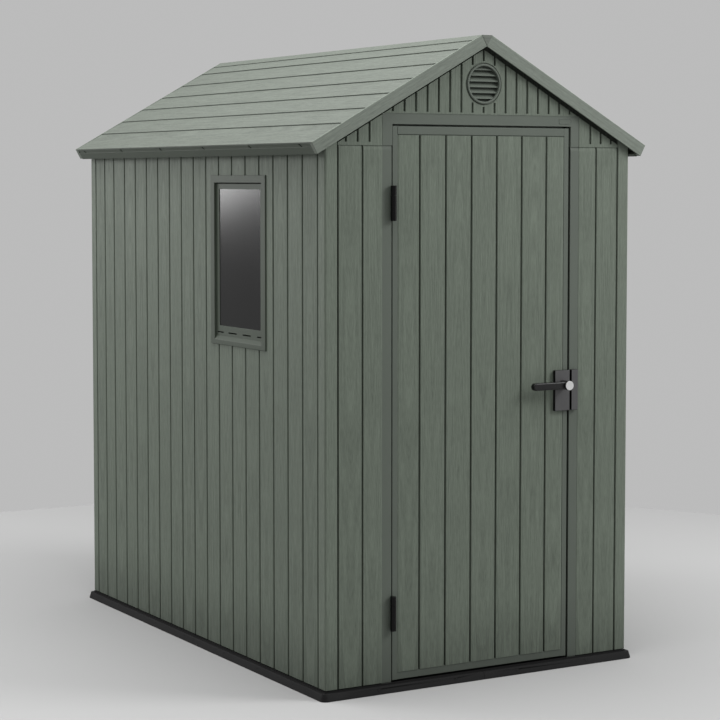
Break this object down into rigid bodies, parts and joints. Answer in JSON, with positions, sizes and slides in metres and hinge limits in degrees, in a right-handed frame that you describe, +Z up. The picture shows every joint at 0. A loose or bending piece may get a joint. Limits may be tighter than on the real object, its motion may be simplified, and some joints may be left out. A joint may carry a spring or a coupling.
{
  "type": "garden shed",
  "caption": "Small pitched-roof resin garden shed with board-grooved walls, a fixed side window, gable vents and one outward-opening door with a lever handle.",
  "frame": {"origin": "centre of the floor's footprint under the walls, at ground level", "axes": "+X to the right seen from the front, +Y towards the back, +Z up; the door faces -Y"},
  "size_m": [1.258, 1.8795, 2.0501],
  "materials": {
    "grained_resin": "green-grey resin with embossed wood grain",
    "roof_resin": "green-grey resin with embossed wood grain, weathering courses",
    "smooth_resin": "smooth green-grey resin",
    "floor_resin": "black resin",
    "hinge_black": "black powder coat",
    "plate_grey": "dark grey, fine texture",
    "lever_black": "black satin",
    "cap_grey": "light grey",
    "pane": "clear plastic pane"
  },
  "bodies": {
    "shed": {"floor_front_left": "floor_resin", "floor_front_right": "floor_resin", "floor_rear_left": "floor_resin", "floor_rear_right": "floor_resin", "corner_front_left": "grained_resin", "corner_front_right": "grained_resin", "corner_rear_left": "grained_resin", "corner_rear_right": "grained_resin", "left_wall_front": "grained_resin", "left_wall_rear": "grained_resin", "right_wall_front": "grained_resin", "right_wall_rear": "grained_resin", "front_wall_left": "grained_resin", "front_wall_right": "grained_resin", "rear_wall_left": "grained_resin", "rear_wall_right": "grained_resin", "front_gable": "grained_resin", "rear_gable": "grained_resin", "roof_left": "roof_resin", "roof_right": "roof_resin", "ridge_cap": "roof_resin", "bargeboard_front_left": "roof_resin", "bargeboard_front_right": "roof_resin", "bargeboard_rear_left": "roof_resin", "bargeboard_rear_right": "roof_resin", "door_jamb_left": "smooth_resin", "door_jamb_right": "smooth_resin", "door_header": "smooth_resin", "vent_front": "smooth_resin", "vent_rear": "smooth_resin", "eave_trim_left": "smooth_resin", "eave_trim_right": "smooth_resin", "window_frame": "smooth_resin", "window_glass": "pane", "hinge_upper_frame": "hinge_black", "hinge_lower_frame": "hinge_black", "keeper_plate": "plate_grey"},
    "door_leaf": {"door": "grained_resin", "hinge_upper_door": "hinge_black", "hinge_lower_door": "hinge_black", "handle_plate": "plate_grey"},
    "lever": {"handle_lever": "lever_black", "handle_cap": "cap_grey"}
  },
  "joints": [
    {"name": "door_swing", "type": "hinge", "parent": "shed", "child": "door_leaf", "pos_m": [-0.337, -0.914, 0.9], "axis": [0, 0, -1], "range_deg": [0, 120]},
    {"name": "handle_turn", "type": "hinge", "parent": "door_leaf", "child": "lever", "pos_m": [0.303, -0.94, 0.932], "axis": [0, -1, 0], "range_deg": [0, 90]}
  ]
}
